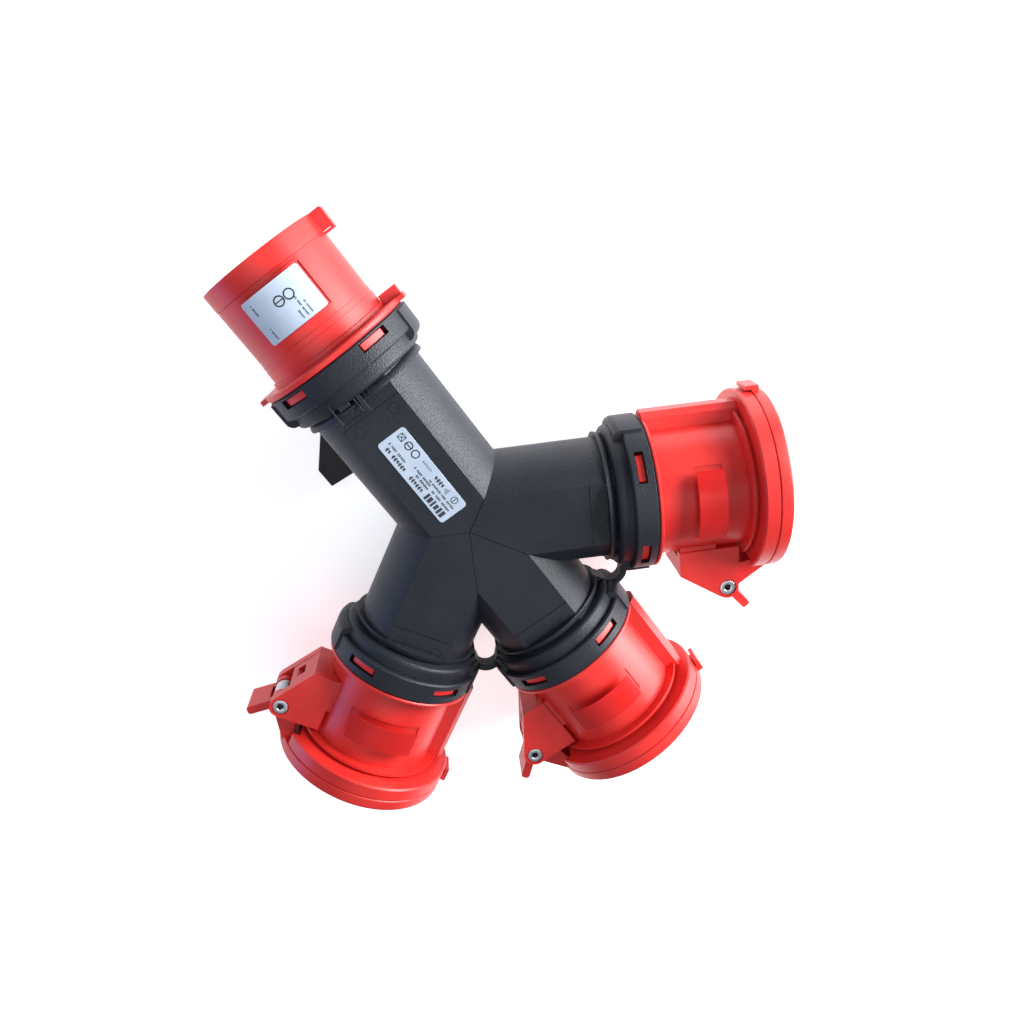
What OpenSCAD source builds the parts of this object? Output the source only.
// Three-way outlet adapter for a 400 V, 16 A, five-pole supply.
// One plug arm points to -X and three covered outlets fan out towards +X.
// The part rests on z = 0 and its hub axis is x = y = 0. Millimetres.

/* [Arms] */
// Angle between neighbouring outlets, degrees
fan_angle = 60; // [58:1:62]
// Half width of an arm at the parting plane
arm_half_w = 28.3; // [28:0.1:29]
// Height of an arm's flat face above its axis
flat_z = 25.8; // [25.5:0.1:26.5]
// Half width of an arm's flat face
flat_half_w = 14.6; // [13:0.1:15.5]
// Wall thickness of the body shells
wall = 2.5; // [2.2:0.1:2.8]
// Distance from the hub to the front edge of an outlet collar
outlet_collar_x = 84; // [82:0.5:86]
// Distance from the hub to the front edge of the plug collar
plug_collar_x = 95.4; // [94:0.2:97]
// Outside radius of the collars
collar_r = 36.2; // [35.8:0.1:37]

/* [Plug] */
// Outside diameter of the plug shroud
shroud_d = 57; // [56:0.5:57.5]
// Distance from the hub to the mouth of the shroud
plug_reach = 145.5; // [143:0.5:148]
// Diameter of the phase and neutral pins
pin_d = 5; // [4.8:0.1:5.2]
// Diameter of the earth pin
earth_d = 7; // [6.8:0.1:7.2]
// Radius of the circle the pins stand on
pole_r = 15; // [14.5:0.1:15.2]

/* [Outlets] */
// Outside radius of an outlet barrel
barrel_r = 31; // [30.8:0.1:31.5]
// Distance from the hub to an outlet's mouth
mouth_x = 135.9; // [134:0.1:137]
// Outside radius of the mouth flange and the lid; the part stands on it
rim_r = 43; // [42.5:0.1:43.5]
// Thickness of a lid
lid_t = 7.4; // [7:0.1:8]
// Hinge pin's distance from the hub, along the outlet
hinge_x = 118.5; // [117.5:0.1:119.5]
// Hinge pin's distance from the outlet axis
hinge_y = 47.8; // [47.4:0.1:48.2]

/* [Hook] */
// Thickness of the hanging hook's blade
hook_t = 5; // [4:0.2:6]
// Distance from the hub to the hook's pivot
hook_x = 58; // [56:0.5:60]

/* [Hidden] */
$fn = 96;
slack = 0.1;
axis_z = rim_r;
left = fan_angle;
middle = 0;
right = -fan_angle;
plug = 180;
outlets = [left, middle, right];
arc_shift = (pow(flat_half_w, 2) + pow(flat_z, 2) - pow(arm_half_w, 2))
          / (2 * (arm_half_w - flat_half_w));
arc_r = arm_half_w + arc_shift;
shroud_r = shroud_d / 2;
shroud_wall = 3;
skirt_r = collar_r - 3.2;
seal_r = skirt_r + 2.4;
seal_t = 1.2;
collar_len = 10.6;
flare_r = 33.4;
flare_round = 2.6;
ear_r = collar_r + 1;
ear_z = 14;
outlet_arm_x = outlet_collar_x - collar_len;
plug_arm_x = plug_collar_x - collar_len;
window_angles = [36, -36, 144, -144];
window = [4, 15];
web_u = 75;
web_hole_r = 5.3;
web_r = 8.6;
web_z = 3.5;
screw_x = 60;
screw_y = 22;
boss_r = 3.6;
boss_z = 13;
screw_r = 1.75;
head_r = 3.1;
poles = 5;
earth_sleeve_r = earth_d / 2 + 1.3;
core_r = 22.3;
core_x = mouth_x - 2.9;
floor_x = mouth_x - 40.4;
floor_t = 3;
terminal_x = 72;
terminal_len = 8;
terminal_r = 4.6;
terminal_bore_r = 3.35;
clamp_screw_r = 1.5;
sleeve_r = 3.8;
plug_face_x = 104;
plug_terminal_x = 76;
pin_tip_x = 137;
earth_tip_x = 139;
key_w = 8;
key_r = 34;
keyway_r = key_r + 0.6;
ridge_r = 38.8;
ridge_w = 13;
hinge_mid = 5.6;
hinge_half = 13.9;
cheek_t = 5;
roof_end_x = 108.5;
hinge_r = 2.5;
running_gap = 0.05;
boss_hinge_r = 5.3;
knuckle_half = hinge_half - cheek_t - 0.5;
spring_half = 5;
wire_r = 1.45;
bend_r = 30;
hook_z = -rim_r;
hook_pivot_r = 3;
label = [45, 14.3, 0.25];

body_grey = [0.17, 0.19, 0.23];
red = [0.85, 0.13, 0.10];
brass = [0.80, 0.65, 0.30];
steel = [0.75, 0.76, 0.78];
black = [0.06, 0.06, 0.07];
rubber = [0.10, 0.10, 0.10];
paper = [0.88, 0.91, 0.95];
inner_grey = [0.30, 0.31, 0.33];
wire_colours = ["black", "saddlebrown", "gray", "royalblue", "yellowgreen"];

// ---- placing helpers: on an arm, X runs outwards, Y to its left and Z to the front ----

module on_arm(direction) {
    translate([0, 0, axis_z]) rotate([0, 0, direction]) children();
}

// A shape turned about the arm's axis; the outline holds [radius, distance] points.
module turned(outline) {
    rotate([0, 90, 0]) rotate_extrude() polygon(outline);
}

module disc(x, length, r) {
    translate([x, 0, 0]) rotate([0, 90, 0]) cylinder(h = length, r = r);
}

module tube(x, length, r_out, r_in) {
    difference() {
        disc(x, length, r_out);
        disc(x - 1, length + 2, r_in);
    }
}

// A plate in the arm's own plane, from z_low to z_high.
module plate(z_low, z_high) {
    translate([0, 0, z_low]) linear_extrude(z_high - z_low) children();
}

// Children at each pole of the five-pole pattern; hand is +1 on an outlet and -1 on the plug.
module at_poles(hand, first = 0) {
    for (i = [first : poles - 1]) {
        angle = 360 / poles * i;
        translate([0, hand * pole_r * cos(angle), pole_r * sin(angle)])
            rotate([hand * angle, 0, 0]) children();
    }
}

// ---- body shells ----

module arm_outline(inset) {
    intersection() {
        translate([-arc_shift, 0]) circle(arc_r - inset);
        translate([arc_shift, 0]) circle(arc_r - inset);
        square([4 * arm_half_w, 2 * (flat_z - inset)], center = true);
    }
}

module arm_bar(length, inset = 0) {
    rotate([90, 0, 90]) linear_extrude(length) arm_outline(inset);
}

// Points on an arc from angle a to angle b in steps of 15 degrees; each holds [radius, distance].
function arc(centre, r, a, b) = [for (k = [0 : round(abs(b - a) / 15)])
    let (t = a + (b - a) * k / round(abs(b - a) / 15)) centre + r * [cos(t), sin(t)]];

// Flared shoulder and the collar that grips a red insert, up to its front edge at x.
module collar(x) {
    back = x - collar_len;
    inner = arm_half_w - wall - 1;
    flare = arc([flare_r - flare_round - 4, back - 10.5], 4, 0, 60);
    shoulder = arc([flare_r - flare_round, back - 1.6 - flare_round], flare_round, -60, 0);
    turned(concat([[inner, back - 10.5]], flare, shoulder, [[flare_r, back], [collar_r - 0.7, back],
                  [collar_r, back + 0.7], [collar_r, x - 0.8], [collar_r - 0.8, x], [inner, x]]));
    // the thicker ears at the parting plane
    for (s = [-1, 1]) intersection() {
        turned(concat([[inner, back - 4]], arc([ear_r - 3.5, back - 0.5], 3.5, -90, 0),
                      [[ear_r, x - 1.4], [inner, x - 1.4]]));
        translate([back - 5, s > 0 ? 22 : -50, -ear_z]) cube([collar_len + 4, 28, 2 * ear_z]);
    }
}

module collar_windows(x) {
    for (angle = window_angles) rotate([angle, 0, 0])
        translate([x - window[0] / 2, -window[1] / 2, collar_r - 6]) cube([window[0], window[1], 10]);
}

// The arms alone; the plug's arm and the middle one are a single straight bar.
module arms(reach, inset = 0) {
    on_arm(middle) translate([-plug_arm_x - reach, 0, 0]) arm_bar(plug_arm_x + outlet_arm_x + 2 * reach, inset);
    for (direction = [left, right]) on_arm(direction) arm_bar(outlet_arm_x + reach, inset);
}

module screw_places() {
    for (direction = concat(outlets, [plug]), s = [-1, 1])
        on_arm(direction) translate([screw_x, s * screw_y, 0]) children();
}

module web_places() {
    for (s = [-1, 1]) on_arm(s * fan_angle / 2) translate([web_u, 0, 0]) children();
}

module body_outside() {
    arms(0);
    for (direction = outlets) on_arm(direction) collar(outlet_collar_x);
    on_arm(plug) collar(plug_collar_x);
    web_places() translate([0, 0, -web_z]) cylinder(h = 2 * web_z, r = web_r);
}

module body_cavity() {
    arms(3, wall);
    for (direction = outlets) on_arm(direction) {
        disc(outlet_arm_x + 0.4, collar_len + 5, skirt_r);
        disc(outlet_collar_x - seal_t, 5, seal_r + 0.05);
        collar_windows(outlet_collar_x - 5.8);
    }
    on_arm(plug) {
        disc(plug_arm_x + 0.4, collar_len + 5, skirt_r);
        disc(plug_collar_x - seal_t, 5, seal_r + 0.05);
        collar_windows(plug_collar_x - 3.4);
    }
    // the eye between two collars is open towards the fork of the arms
    web_places() {
        translate([0, 0, -30]) cylinder(h = 60, r = web_hole_r);
        translate([-web_r - 0.6, -web_hole_r, -30]) cube([web_r + 0.6, 2 * web_hole_r, 60]);
    }
}

// Fine joint lines moulded into the flat faces, and the round marks of the ejector pins.
module face_lines() {
    depth = 0.35;
    width = 0.5;
    for (s = [-1, 1]) {
        on_arm(s * (180 - fan_angle)) translate([0, -width / 2, flat_z - depth])
            cube([flat_half_w / sin(60), width, 1]);
        on_arm(s * fan_angle / 2) translate([0, -width / 2, flat_z - depth])
            cube([flat_half_w / sin(fan_angle / 2), width, 1]);
    }
    for (direction = outlets) on_arm(direction) {
        translate([54.8, -flat_half_w, flat_z - depth]) cube([width, 2 * flat_half_w, 1]);
        ejector_marks(61.5);
    }
    on_arm(plug) {
        translate([68.4, -flat_half_w, flat_z - depth]) cube([width, 2 * flat_half_w, 1]);
        ejector_marks(64.4);
    }
}

module ejector_marks(x) {
    for (s = [-1, 1]) translate([x, s * 9, flat_z - 0.2]) difference() {
        cylinder(h = 1, r = 2.6);
        cylinder(h = 1, r = 2.2);
    }
}

// Space on one side of the parting plane: side is +1 for the front and -1 for the rear.
module half_space(side) {
    translate([-200, -200, side > 0 ? axis_z + slack : axis_z - 60 - slack]) cube([400, 400, 60]);
}

// The screw bosses, kept inside the arms' own outline.
module bosses() {
    screw_places() translate([0, 0, -boss_z]) cylinder(h = 2 * boss_z, r = boss_r);
}

module front_shell() {
    color(body_grey) difference() {
        intersection() {
            union() {
                difference() {
                    body_outside();
                    body_cavity();
                }
                bosses();
            }
            half_space(1);
        }
        screw_places() translate([0, 0, -1]) cylinder(h = 13, r = screw_r);
        face_lines();
    }
}

module rear_shell() {
    color(body_grey) difference() {
        intersection() {
            union() {
                difference() {
                    body_outside();
                    body_cavity();
                }
                bosses();
                on_arm(plug) translate([hook_x, 0, -flat_z + 1]) cylinder(h = 7.3, r = 6);
            }
            half_space(-1);
        }
        screw_places() {
            translate([0, 0, -14]) cylinder(h = 20, r = screw_r + 0.15);
            translate([0, 0, -40]) cylinder(h = 29, r = head_r + 0.2);
        }
        on_arm(plug) translate([hook_x, 0, -30]) cylinder(h = 20, r = 2);
        translate([0, 0, 2 * axis_z]) mirror([0, 0, 1]) face_lines();
    }
}

// Pan-head screws driven from the rear.
module shell_screws() {
    color(steel) screw_places() difference() {
        union() {
            translate([0, 0, -13.4]) cylinder(h = 2.4, r = head_r);
            translate([0, 0, -11.5]) cylinder(h = 22, r = screw_r);
        }
        for (turn = [0, 90]) rotate([0, 0, turn]) translate([-1.9, -0.4, -14]) cube([3.8, 0.8, 2]);
    }
}

module rating_label() {
    color(paper) on_arm(plug) translate([11, -label[1] / 2, flat_z]) linear_extrude(label[2])
        rounded_rect(label[0], label[1], 1.6);
}

module rounded_rect(length, width, r) {
    translate([r, 0]) square([length - 2 * r, width]);
    translate([0, r]) square([length, width - 2 * r]);
    for (x = [r, length - r], y = [r, width - r]) translate([x, y]) circle(r);
}

// ---- hanging hook on the rear of the plug arm ----

module hook_outline() {
    difference() {
        union() {
            translate([hook_x, 0]) circle(10);
            polygon([[hook_x - 9, -4], [40.5, 12], [40.5, 40], [41.5, 52.5], [52, 52.5], [67, 38.5],
                     [67, 32], [hook_x + 9.5, -3]]);
        }
        // the mouth that takes the rail
        translate([53, 17]) circle(3.5);
        translate([53, 13.5]) square([20, 7]);
        translate([53, 17]) square([20, 12]);
        translate([53, 25.5]) circle(3.5);
        translate([49.5, 17]) square([10, 8.5]);
    }
}

module hanging_hook() {
    color(black) on_arm(plug) difference() {
        union() {
            plate(hook_z, hook_z + hook_t) hook_outline();
            translate([hook_x, 0, hook_z]) cylinder(h = rim_r - flat_z - 0.3, r = 9);
        }
        translate([hook_x, 0, hook_z - 1]) cylinder(h = 30, r = hook_pivot_r + running_gap);
        translate([hook_x, 0, hook_z - 1]) cylinder(h = 4.6, r = 5.6);
    }
}

module hook_screw() {
    color(steel) on_arm(plug) translate([hook_x, 0, hook_z]) difference() {
        union() {
            translate([0, 0, 0.6]) cylinder(h = 2.8, r = 5.2);
            translate([0, 0, 2]) cylinder(h = rim_r - flat_z - 2, r = hook_pivot_r);
            translate([0, 0, 5]) cylinder(h = 19, r = 2);
        }
        cylinder(h = 2.6, r = 2, $fn = 6);
    }
}

// ---- plug ----

module latches(x) {
    for (angle = window_angles) rotate([angle, 0, 0]) intersection() {
        translate([x - 1.5, -6, skirt_r - 2]) cube([3, 12, 4]);
        disc(x - 2, 4, skirt_r + 1.7);
    }
}

module plug_shroud() {
    skirt_x = plug_arm_x + 0.6;
    color(red) on_arm(plug) difference() {
        union() {
            disc(plug_collar_x + 1, plug_reach - plug_collar_x - 1, shroud_r);
            // raised hoops at the root of the shroud
            disc(plug_collar_x + 1, 4, shroud_r + 1.6);
            disc(plug_collar_x + 1, 9.6, shroud_r + 0.45);
            disc(plug_collar_x + 1, 12.4, shroud_r + 0.2);
            turned([[0, plug_collar_x + 0.1], [36, plug_collar_x + 0.1], [36.6, plug_collar_x + 0.7],
                    [36.6, plug_collar_x + 2.2], [36, plug_collar_x + 2.8], [0, plug_collar_x + 2.8]]);
            flange_ears();
            disc(skirt_x, plug_collar_x - skirt_x + 0.5, skirt_r);
            latches(plug_collar_x - 3.4);
            plug_key();
            label_frame();
            disc(136.7, plug_reach - 136.7, shroud_r + 0.12);
        }
        disc(plug_face_x, 100, shroud_r - shroud_wall);
        disc(0, plug_face_x + 1, shroud_r - shroud_wall - 1);
        disc(0, plug_arm_x + 8, skirt_r - 2.5);
        tube(136.2, 0.5, shroud_r + 4, shroud_r - 0.45);
    }
}

module flange_ears() {
    for (s = [-1, 1]) translate([plug_collar_x + 0.4, 0, 0]) intersection() {
        disc(0, 2.2, 39.8);
        translate([0, s > 0 ? 30 : -45, -6]) cube([3, 15, 12]);
    }
    // small lug beside the flange
    translate([plug_collar_x + 2.6, -38.6, -3]) cube([4.6, 9, 6]);
}

module plug_key() {
    intersection() {
        translate([plug_reach - 10.4, -key_r - 1, -key_w / 2]) cube([10.4, 12, key_w]);
        turned([[0, plug_reach - 11], [key_r, plug_reach - 11], [key_r, plug_reach - 0.8],
                [key_r - 0.8, plug_reach], [0, plug_reach]]);
    }
}

// A slice of a ring, between two angles from the front face; both are under 90 degrees.
module front_sector(x, length, r_out, r_in, angle_low, angle_high) {
    reach = 2 * r_out;
    intersection() {
        tube(x, length, r_out, r_in);
        translate([x, 0, 0]) rotate([90, 0, 90]) linear_extrude(length)
            polygon([[0, 0], [reach * sin(angle_low), reach * cos(angle_low)],
                     [0, reach], [reach * sin(angle_high), reach * cos(angle_high)]]);
    }
}

module label_frame() {
    difference() {
        front_sector(111.8, 23, shroud_r + 0.6, shroud_r - 1, -36, 28);
        front_sector(113.1, 20.4, shroud_r + 5, shroud_r - 2, -33.5, 25.5);
    }
}

module plug_label() {
    color(paper) on_arm(plug) front_sector(113.4, 19.8, shroud_r + 0.25, shroud_r, -33, 25);
}

module plug_insert() {
    color(inner_grey) on_arm(plug) difference() {
        union() {
            disc(88, plug_face_x - 88, shroud_r - shroud_wall - 1);
            disc(86, 4, skirt_r - 2.8);
            disc(plug_face_x - 2, 3.5, 8);
        }
        at_poles(-1) disc(80, 40, pin_d / 2 + 0.6);
        translate([0, -pole_r, 0]) disc(80, 40, earth_d / 2 + 0.6);
    }
}

module contact_pin(face_x, tip_x, r) {
    turned([[0, face_x - 18.4], [r + 0.6, face_x - 18.4], [r + 0.6, face_x - 0.6], [r, face_x - 0.6],
            [r, tip_x - 1.5], [r - 1.2, tip_x], [0, tip_x]]);
}

// The clamp behind a pin or sleeve: it takes up to three conductors, held by a screw.
module terminal(x, length) {
    difference() {
        union() {
            disc(x, terminal_len, terminal_r);
            disc(x, length, sleeve_r);
        }
        disc(x - 1, terminal_len, terminal_bore_r);
        translate([x + terminal_len / 2, 0, 0]) rotate([-90, 0, 0]) cylinder(h = 10, r = clamp_screw_r);
    }
}

module terminal_screw(x) {
    translate([x + terminal_len / 2, terminal_bore_r, 0]) rotate([-90, 0, 0]) difference() {
        cylinder(h = 2.8, r = clamp_screw_r);
        translate([-2, -0.3, 1.9]) cube([4, 0.6, 2]);
    }
}

module plug_pins() {
    color(brass) on_arm(plug) at_poles(-1, 1) rotate([180, 0, 0]) {
        contact_pin(plug_face_x, pin_tip_x, pin_d / 2);
        terminal(plug_terminal_x, plug_face_x - 18.3 - plug_terminal_x);
    }
}

module plug_earth_pin() {
    color(brass) on_arm(plug) translate([0, -pole_r, 0]) rotate([180, 0, 0]) {
        contact_pin(plug_face_x, earth_tip_x, earth_d / 2);
        terminal(plug_terminal_x, plug_face_x - 18.3 - plug_terminal_x);
    }
}

module plug_terminal_screws() {
    color(steel) on_arm(plug) at_poles(-1) rotate([180, 0, 0]) terminal_screw(plug_terminal_x);
}

module plug_seal() {
    color(rubber) on_arm(plug) tube(plug_collar_x - seal_t, seal_t + 0.1, seal_r, skirt_r + 0.05);
}

// ---- outlets ----

module ridge_outline() {
    polygon([[barrel_r - 2, -ridge_w / 2], [ridge_r - 2.5, -ridge_w / 2], [ridge_r, -ridge_w / 2 + 3],
             [ridge_r, ridge_w / 2 - 3], [ridge_r - 2.5, ridge_w / 2], [barrel_r - 2, ridge_w / 2]]);
}

module cheek_outline() {
    difference() {
        union() {
            polygon([[96, -barrel_r + 4], [95.8, -38.8], [115.3, -52.2], [hinge_x + 4, -51.3],
                     [hinge_x + 5.3, -hinge_y], [124.2, -barrel_r + 4]]);
            translate([hinge_x, -hinge_y]) circle(boss_hinge_r);
        }
        translate([hinge_x, -hinge_y]) circle(hinge_r);
    }
}

// Two hinge cheeks, with the counterbores of the pin's heads, and the slotted roof between them.
module hinge_base() {
    cheek_low = hinge_half - cheek_t;
    translate([0, 0, hinge_mid]) {
        for (s = [-1, 1]) difference() {
            plate(s > 0 ? cheek_low : -hinge_half, s > 0 ? hinge_half : -cheek_low) cheek_outline();
            translate([hinge_x, -hinge_y, s > 0 ? hinge_half - 0.9 : -hinge_half - 1])
                cylinder(h = 1.9, r = 4.1);
        }
        difference() {
            plate(-hinge_half + 1, hinge_half - 1) polygon([[95.95, -30], [95.8, -38.6], [roof_end_x, -47.3],
                [roof_end_x, -44.6], [98.5, -37.6], [98.5, -30]]);
            translate([102, -50, -4]) cube([4, 12, 8]);
        }
        plate(-hinge_half + 1, hinge_half - 1) translate([96.5, -33.5]) square([17, 10]);
    }
}

module mouth_flange() {
    difference() {
        turned([[barrel_r - 1, mouth_x - 9.8], [barrel_r + 4.6, mouth_x - 9.8],
                [barrel_r + 4.6, mouth_x - 8.4], [barrel_r + 2.2, mouth_x - 8.4],
                [barrel_r + 2.2, mouth_x - 6.8], [rim_r - 0.8, mouth_x - 6.8], [rim_r - 0.1, mouth_x - 6],
                [rim_r - 0.1, mouth_x - 0.4], [rim_r - 0.5, mouth_x], [barrel_r - 1, mouth_x]]);
        // clear of the lid's hinge arm
        translate([mouth_x - 12, -60, hinge_mid - hinge_half - 1])
            cube([15, 60 - barrel_r - 2.6, 2 * hinge_half + 2]);
    }
}

module barrel() {
    back = outlet_arm_x + 0.6;
    difference() {
        union() {
            disc(outlet_collar_x + 0.2, mouth_x - outlet_collar_x - 0.2, barrel_r);
            turned([[0, outlet_collar_x + 0.2], [collar_r - 0.4, outlet_collar_x + 0.2],
                    [collar_r, outlet_collar_x + 0.6], [collar_r, outlet_collar_x + 1.4],
                    [collar_r - 0.6, outlet_collar_x + 1.8], [0, outlet_collar_x + 1.8]]);
            disc(back, outlet_collar_x - back + 0.5, skirt_r);
            latches(outlet_collar_x - 5.8);
            mouth_flange();
            translate([outlet_collar_x + 0.4, 0, 0]) rotate([90, 0, 90])
                linear_extrude(mouth_x - outlet_collar_x - 1) ridge_outline();
            hinge_base();
        }
        disc(floor_x, 60, barrel_r - 1.8);
        disc(0, floor_x + 1, core_r + 0.15);
        disc(0, floor_x - floor_t, barrel_r - 1.4);
        translate([floor_x, 0, -key_w / 2 - 0.5]) cube([60, keyway_r, key_w + 1]);
        // shallow panel on the front of the barrel
        front_sector(101.5, 13.4, barrel_r + 4, barrel_r - 0.5, -33, 33);
    }
}

module carrier() {
    difference() {
        union() {
            disc(terminal_x + terminal_len, core_x - terminal_x - terminal_len - 0.8, core_r);
            disc(core_x - 0.8, 0.8, core_r - 0.8);
            disc(floor_x - floor_t - 3.2, 3.1, barrel_r - 1.6);
        }
        at_poles(1) disc(0, 200, sleeve_r);
        translate([0, pole_r, 0]) disc(0, 200, earth_sleeve_r);
        disc(core_x - 4, 10, 3);
    }
}

module sleeves() {
    shank = terminal_len + 16;
    bore_x = terminal_x + shank - 0.1;
    bore_len = core_x - 1.4 - bore_x;
    at_poles(1) terminal(terminal_x, shank);
    at_poles(1, 1) tube(bore_x, bore_len, sleeve_r, pin_d / 2 + running_gap);
    translate([0, pole_r, 0]) tube(bore_x, bore_len, earth_sleeve_r, earth_d / 2 + running_gap);
}

module outlet_screws() {
    at_poles(1) terminal_screw(terminal_x);
}

module outlet_seal() {
    tube(outlet_collar_x - seal_t, seal_t + 0.1, seal_r, skirt_r + 0.05);
}

// ---- lids ----

module lid_arm_outline() {
    difference() {
        union() {
            translate([hinge_x, -hinge_y]) circle(boss_hinge_r - 0.3);
            polygon([[hinge_x, -hinge_y + 5], [hinge_x + 6, -38.2], [mouth_x + 0.2, -36.5],
                     [mouth_x + 0.2, -30], [mouth_x + 5, -30], [mouth_x + lid_t - 1, -38.5],
                     [hinge_x + 8, -48.6], [hinge_x + 3, -51.8]]);
            thumb_tab_outline();
        }
        translate([hinge_x, -hinge_y]) circle(hinge_r + running_gap);
    }
}

module thumb_tab_outline() {
    translate([hinge_x, -hinge_y]) rotate(-51) translate([3.8, -2.1]) rounded_rect(13.7, 4.2, 1.4);
}

module lid() {
    x = mouth_x + 0.2;
    front = mouth_x + lid_t;
    difference() {
        union() {
            difference() {
                turned([[0, x], [rim_r - 0.3, x], [rim_r, x + 0.3], [rim_r, front - 2.6],
                        [rim_r - 0.5, front - 1.6], [rim_r - 1.6, front - 1.1], [36.5, front - 0.9],
                        [35.6, front - 0.3], [34, front], [0, front]]);
                disc(x - 1, 4.6, barrel_r - 0.5);
            }
            // catch over the keyway side
            translate([mouth_x - 3.2, rim_r + 0.5, -6]) cube([6.6, 2, 12]);
            translate([x, rim_r - 4, -6]) cube([lid_t - 4.2, 5.5, 12]);
            plate(hinge_mid - knuckle_half, hinge_mid + knuckle_half) lid_arm_outline();
        }
        // room for the spring's coil
        translate([hinge_x, -hinge_y, hinge_mid - spring_half]) cylinder(h = 2 * spring_half, r = 6.4);
        // seat of the seal
        tube(x - 1, 2.6, 34.6, barrel_r - 0.6);
    }
}

module lid_seal() {
    x = mouth_x + 0.4;
    tube(x, 1.35, 34.3, barrel_r - 0.2);
}

module hinge_pin() {
    translate([hinge_x, -hinge_y, hinge_mid]) difference() {
        union() {
            cylinder(h = 2 * hinge_half - 1.2, r = hinge_r, center = true);
            for (s = [-1, 1]) translate([0, 0, s * (hinge_half - 0.55)])
                cylinder(h = 0.7, r = 3.7, center = true);
        }
        cylinder(h = 60, r = 1.5, center = true);
    }
}

// Coil round the hinge pin, with the leg that pushes on the lid.
module spring() {
    coil_r = 4.1;
    spring_wire = 0.6;
    turns = 7;
    half_coil = (turns - 1) * 1.01 * spring_wire;
    translate([hinge_x, -hinge_y, hinge_mid]) {
        for (i = [0 : turns - 1]) translate([0, 0, i * 2.02 * spring_wire - half_coil])
            rotate_extrude() translate([coil_r, 0]) circle(spring_wire);
        translate([0, 0, half_coil]) rotate([0, 0, 38]) translate([0, -coil_r, 0]) rotate([0, 90, 0])
            cylinder(h = 3.9, r = spring_wire);
    }
}

// ---- conductors: one per pole, straight, then round the bend into the outlet's arm ----

// One eight-sided tube swept through rings; a ring holds [x, y, direction] at one level.
module swept_tube(rings, level, r) {
    sides = 8;
    points = [for (ring = rings, k = [0 : sides - 1])
        let (turn = 360 / sides * (k + 0.5), out = r * cos(turn))
            [ring[0] - out * sin(ring[2]), ring[1] + out * cos(ring[2]), level + r * sin(turn)]];
    last = len(rings) - 1;
    walls = [for (n = [0 : last - 1], k = [0 : sides - 1])
        let (a = n * sides + k, b = n * sides + (k + 1) % sides) [a, b, b + sides, a + sides]];
    polyhedron(points, concat([[for (k = [sides - 1 : -1 : 0]) k]], walls,
                              [[for (k = [0 : sides - 1]) last * sides + k]]));
}

module wires(direction, shift) {
    turn = sign(direction);
    start = bend_r * tan(abs(direction) / 2);
    steps = 6;
    reach = terminal_x + terminal_len - 2;
    for (i = [0 : poles - 1]) {
        lane = pole_r * cos(360 / poles * i) + shift[0];
        level = axis_z + pole_r * sin(360 / poles * i) + shift[1];
        bend = bend_r - turn * lane;
        bend_rings = turn == 0 ? [[0, lane, 0]] : [for (k = [0 : steps])
            let (a = direction * k / steps)
                [-start + turn * bend * sin(a), turn * bend_r - turn * bend * cos(a), a]];
        rings = concat([[-plug_terminal_x - terminal_len + 2, lane, 0]], bend_rings,
                       [[reach * cos(direction) - lane * sin(direction),
                         reach * sin(direction) + lane * cos(direction), direction]]);
        color(wire_colours[(i + 4) % poles]) swept_tube(rings, level, wire_r);
    }
}

left_shift = [1.55, -0.9];
middle_shift = [0, 1.75];
right_shift = [-1.55, -0.9];

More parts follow.
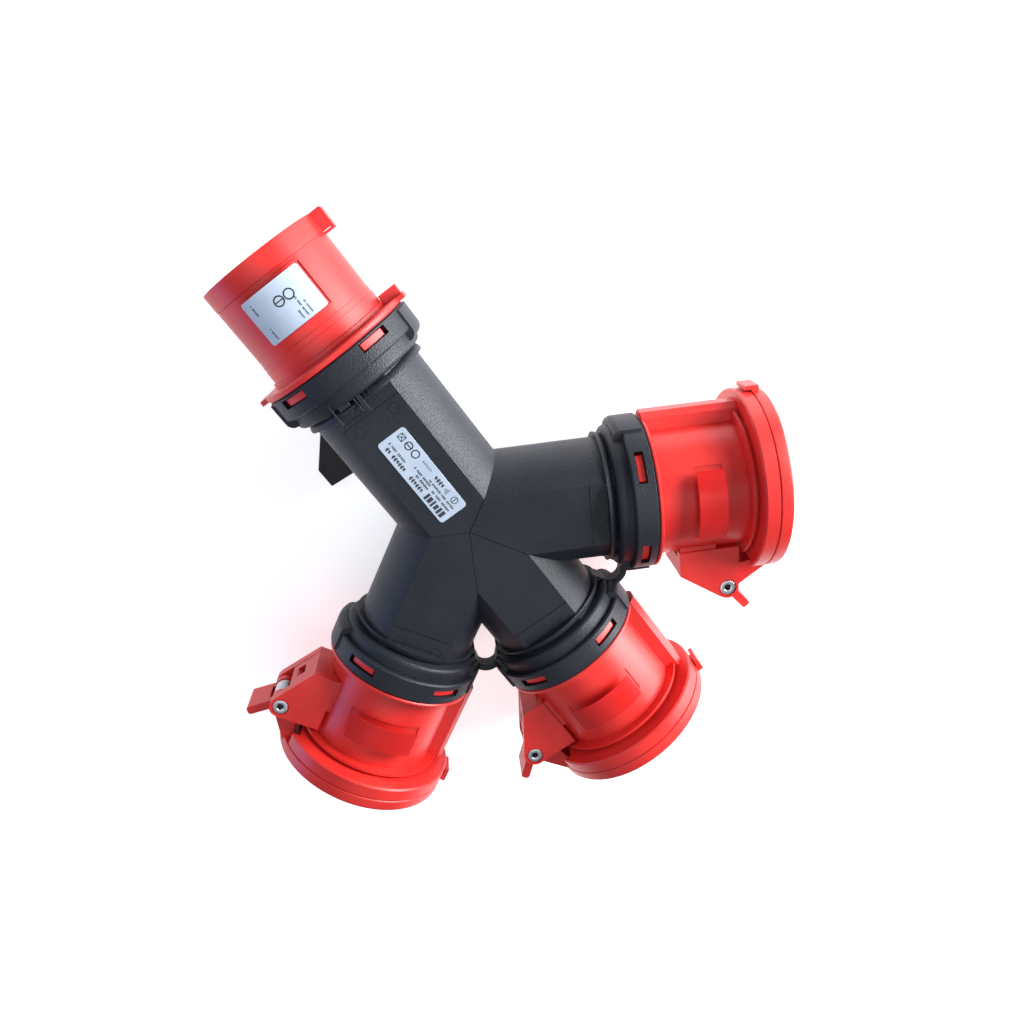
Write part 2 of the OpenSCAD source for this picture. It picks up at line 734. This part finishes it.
module left_barrel() { color(red) on_arm(left) barrel(); }
module left_carrier() { color(inner_grey) on_arm(left) carrier(); }
module left_sleeves() { color(brass) on_arm(left) sleeves(); }
module left_terminal_screws() { color(steel) on_arm(left) outlet_screws(); }
module left_seal() { color(rubber) on_arm(left) outlet_seal(); }
module left_lid() { color(red) on_arm(left) lid(); }
module left_lid_seal() { color(rubber) on_arm(left) lid_seal(); }
module left_hinge_pin() { color(steel) on_arm(left) hinge_pin(); }
module left_spring() { color(steel) on_arm(left) spring(); }
module left_wires() { wires(left, left_shift); }
module middle_barrel() { color(red) on_arm(middle) barrel(); }
module middle_carrier() { color(inner_grey) on_arm(middle) carrier(); }
module middle_sleeves() { color(brass) on_arm(middle) sleeves(); }
module middle_terminal_screws() { color(steel) on_arm(middle) outlet_screws(); }
module middle_seal() { color(rubber) on_arm(middle) outlet_seal(); }
module middle_lid() { color(red) on_arm(middle) lid(); }
module middle_lid_seal() { color(rubber) on_arm(middle) lid_seal(); }
module middle_hinge_pin() { color(steel) on_arm(middle) hinge_pin(); }
module middle_spring() { color(steel) on_arm(middle) spring(); }
module middle_wires() { wires(middle, middle_shift); }
module right_barrel() { color(red) on_arm(right) barrel(); }
module right_carrier() { color(inner_grey) on_arm(right) carrier(); }
module right_sleeves() { color(brass) on_arm(right) sleeves(); }
module right_terminal_screws() { color(steel) on_arm(right) outlet_screws(); }
module right_seal() { color(rubber) on_arm(right) outlet_seal(); }
module right_lid() { color(red) on_arm(right) lid(); }
module right_lid_seal() { color(rubber) on_arm(right) lid_seal(); }
module right_hinge_pin() { color(steel) on_arm(right) hinge_pin(); }
module right_spring() { color(steel) on_arm(right) spring(); }
module right_wires() { wires(right, right_shift); }

front_shell();
rear_shell();
shell_screws();
rating_label();
hanging_hook();
hook_screw();
plug_shroud();
plug_insert();
plug_pins();
plug_earth_pin();
plug_terminal_screws();
plug_seal();
plug_label();
left_barrel();
left_carrier();
left_sleeves();
left_terminal_screws();
left_seal();
left_lid();
left_lid_seal();
left_hinge_pin();
left_spring();
left_wires();
middle_barrel();
middle_carrier();
middle_sleeves();
middle_terminal_screws();
middle_seal();
middle_lid();
middle_lid_seal();
middle_hinge_pin();
middle_spring();
middle_wires();
right_barrel();
right_carrier();
right_sleeves();
right_terminal_screws();
right_seal();
right_lid();
right_lid_seal();
right_hinge_pin();
right_spring();
right_wires();
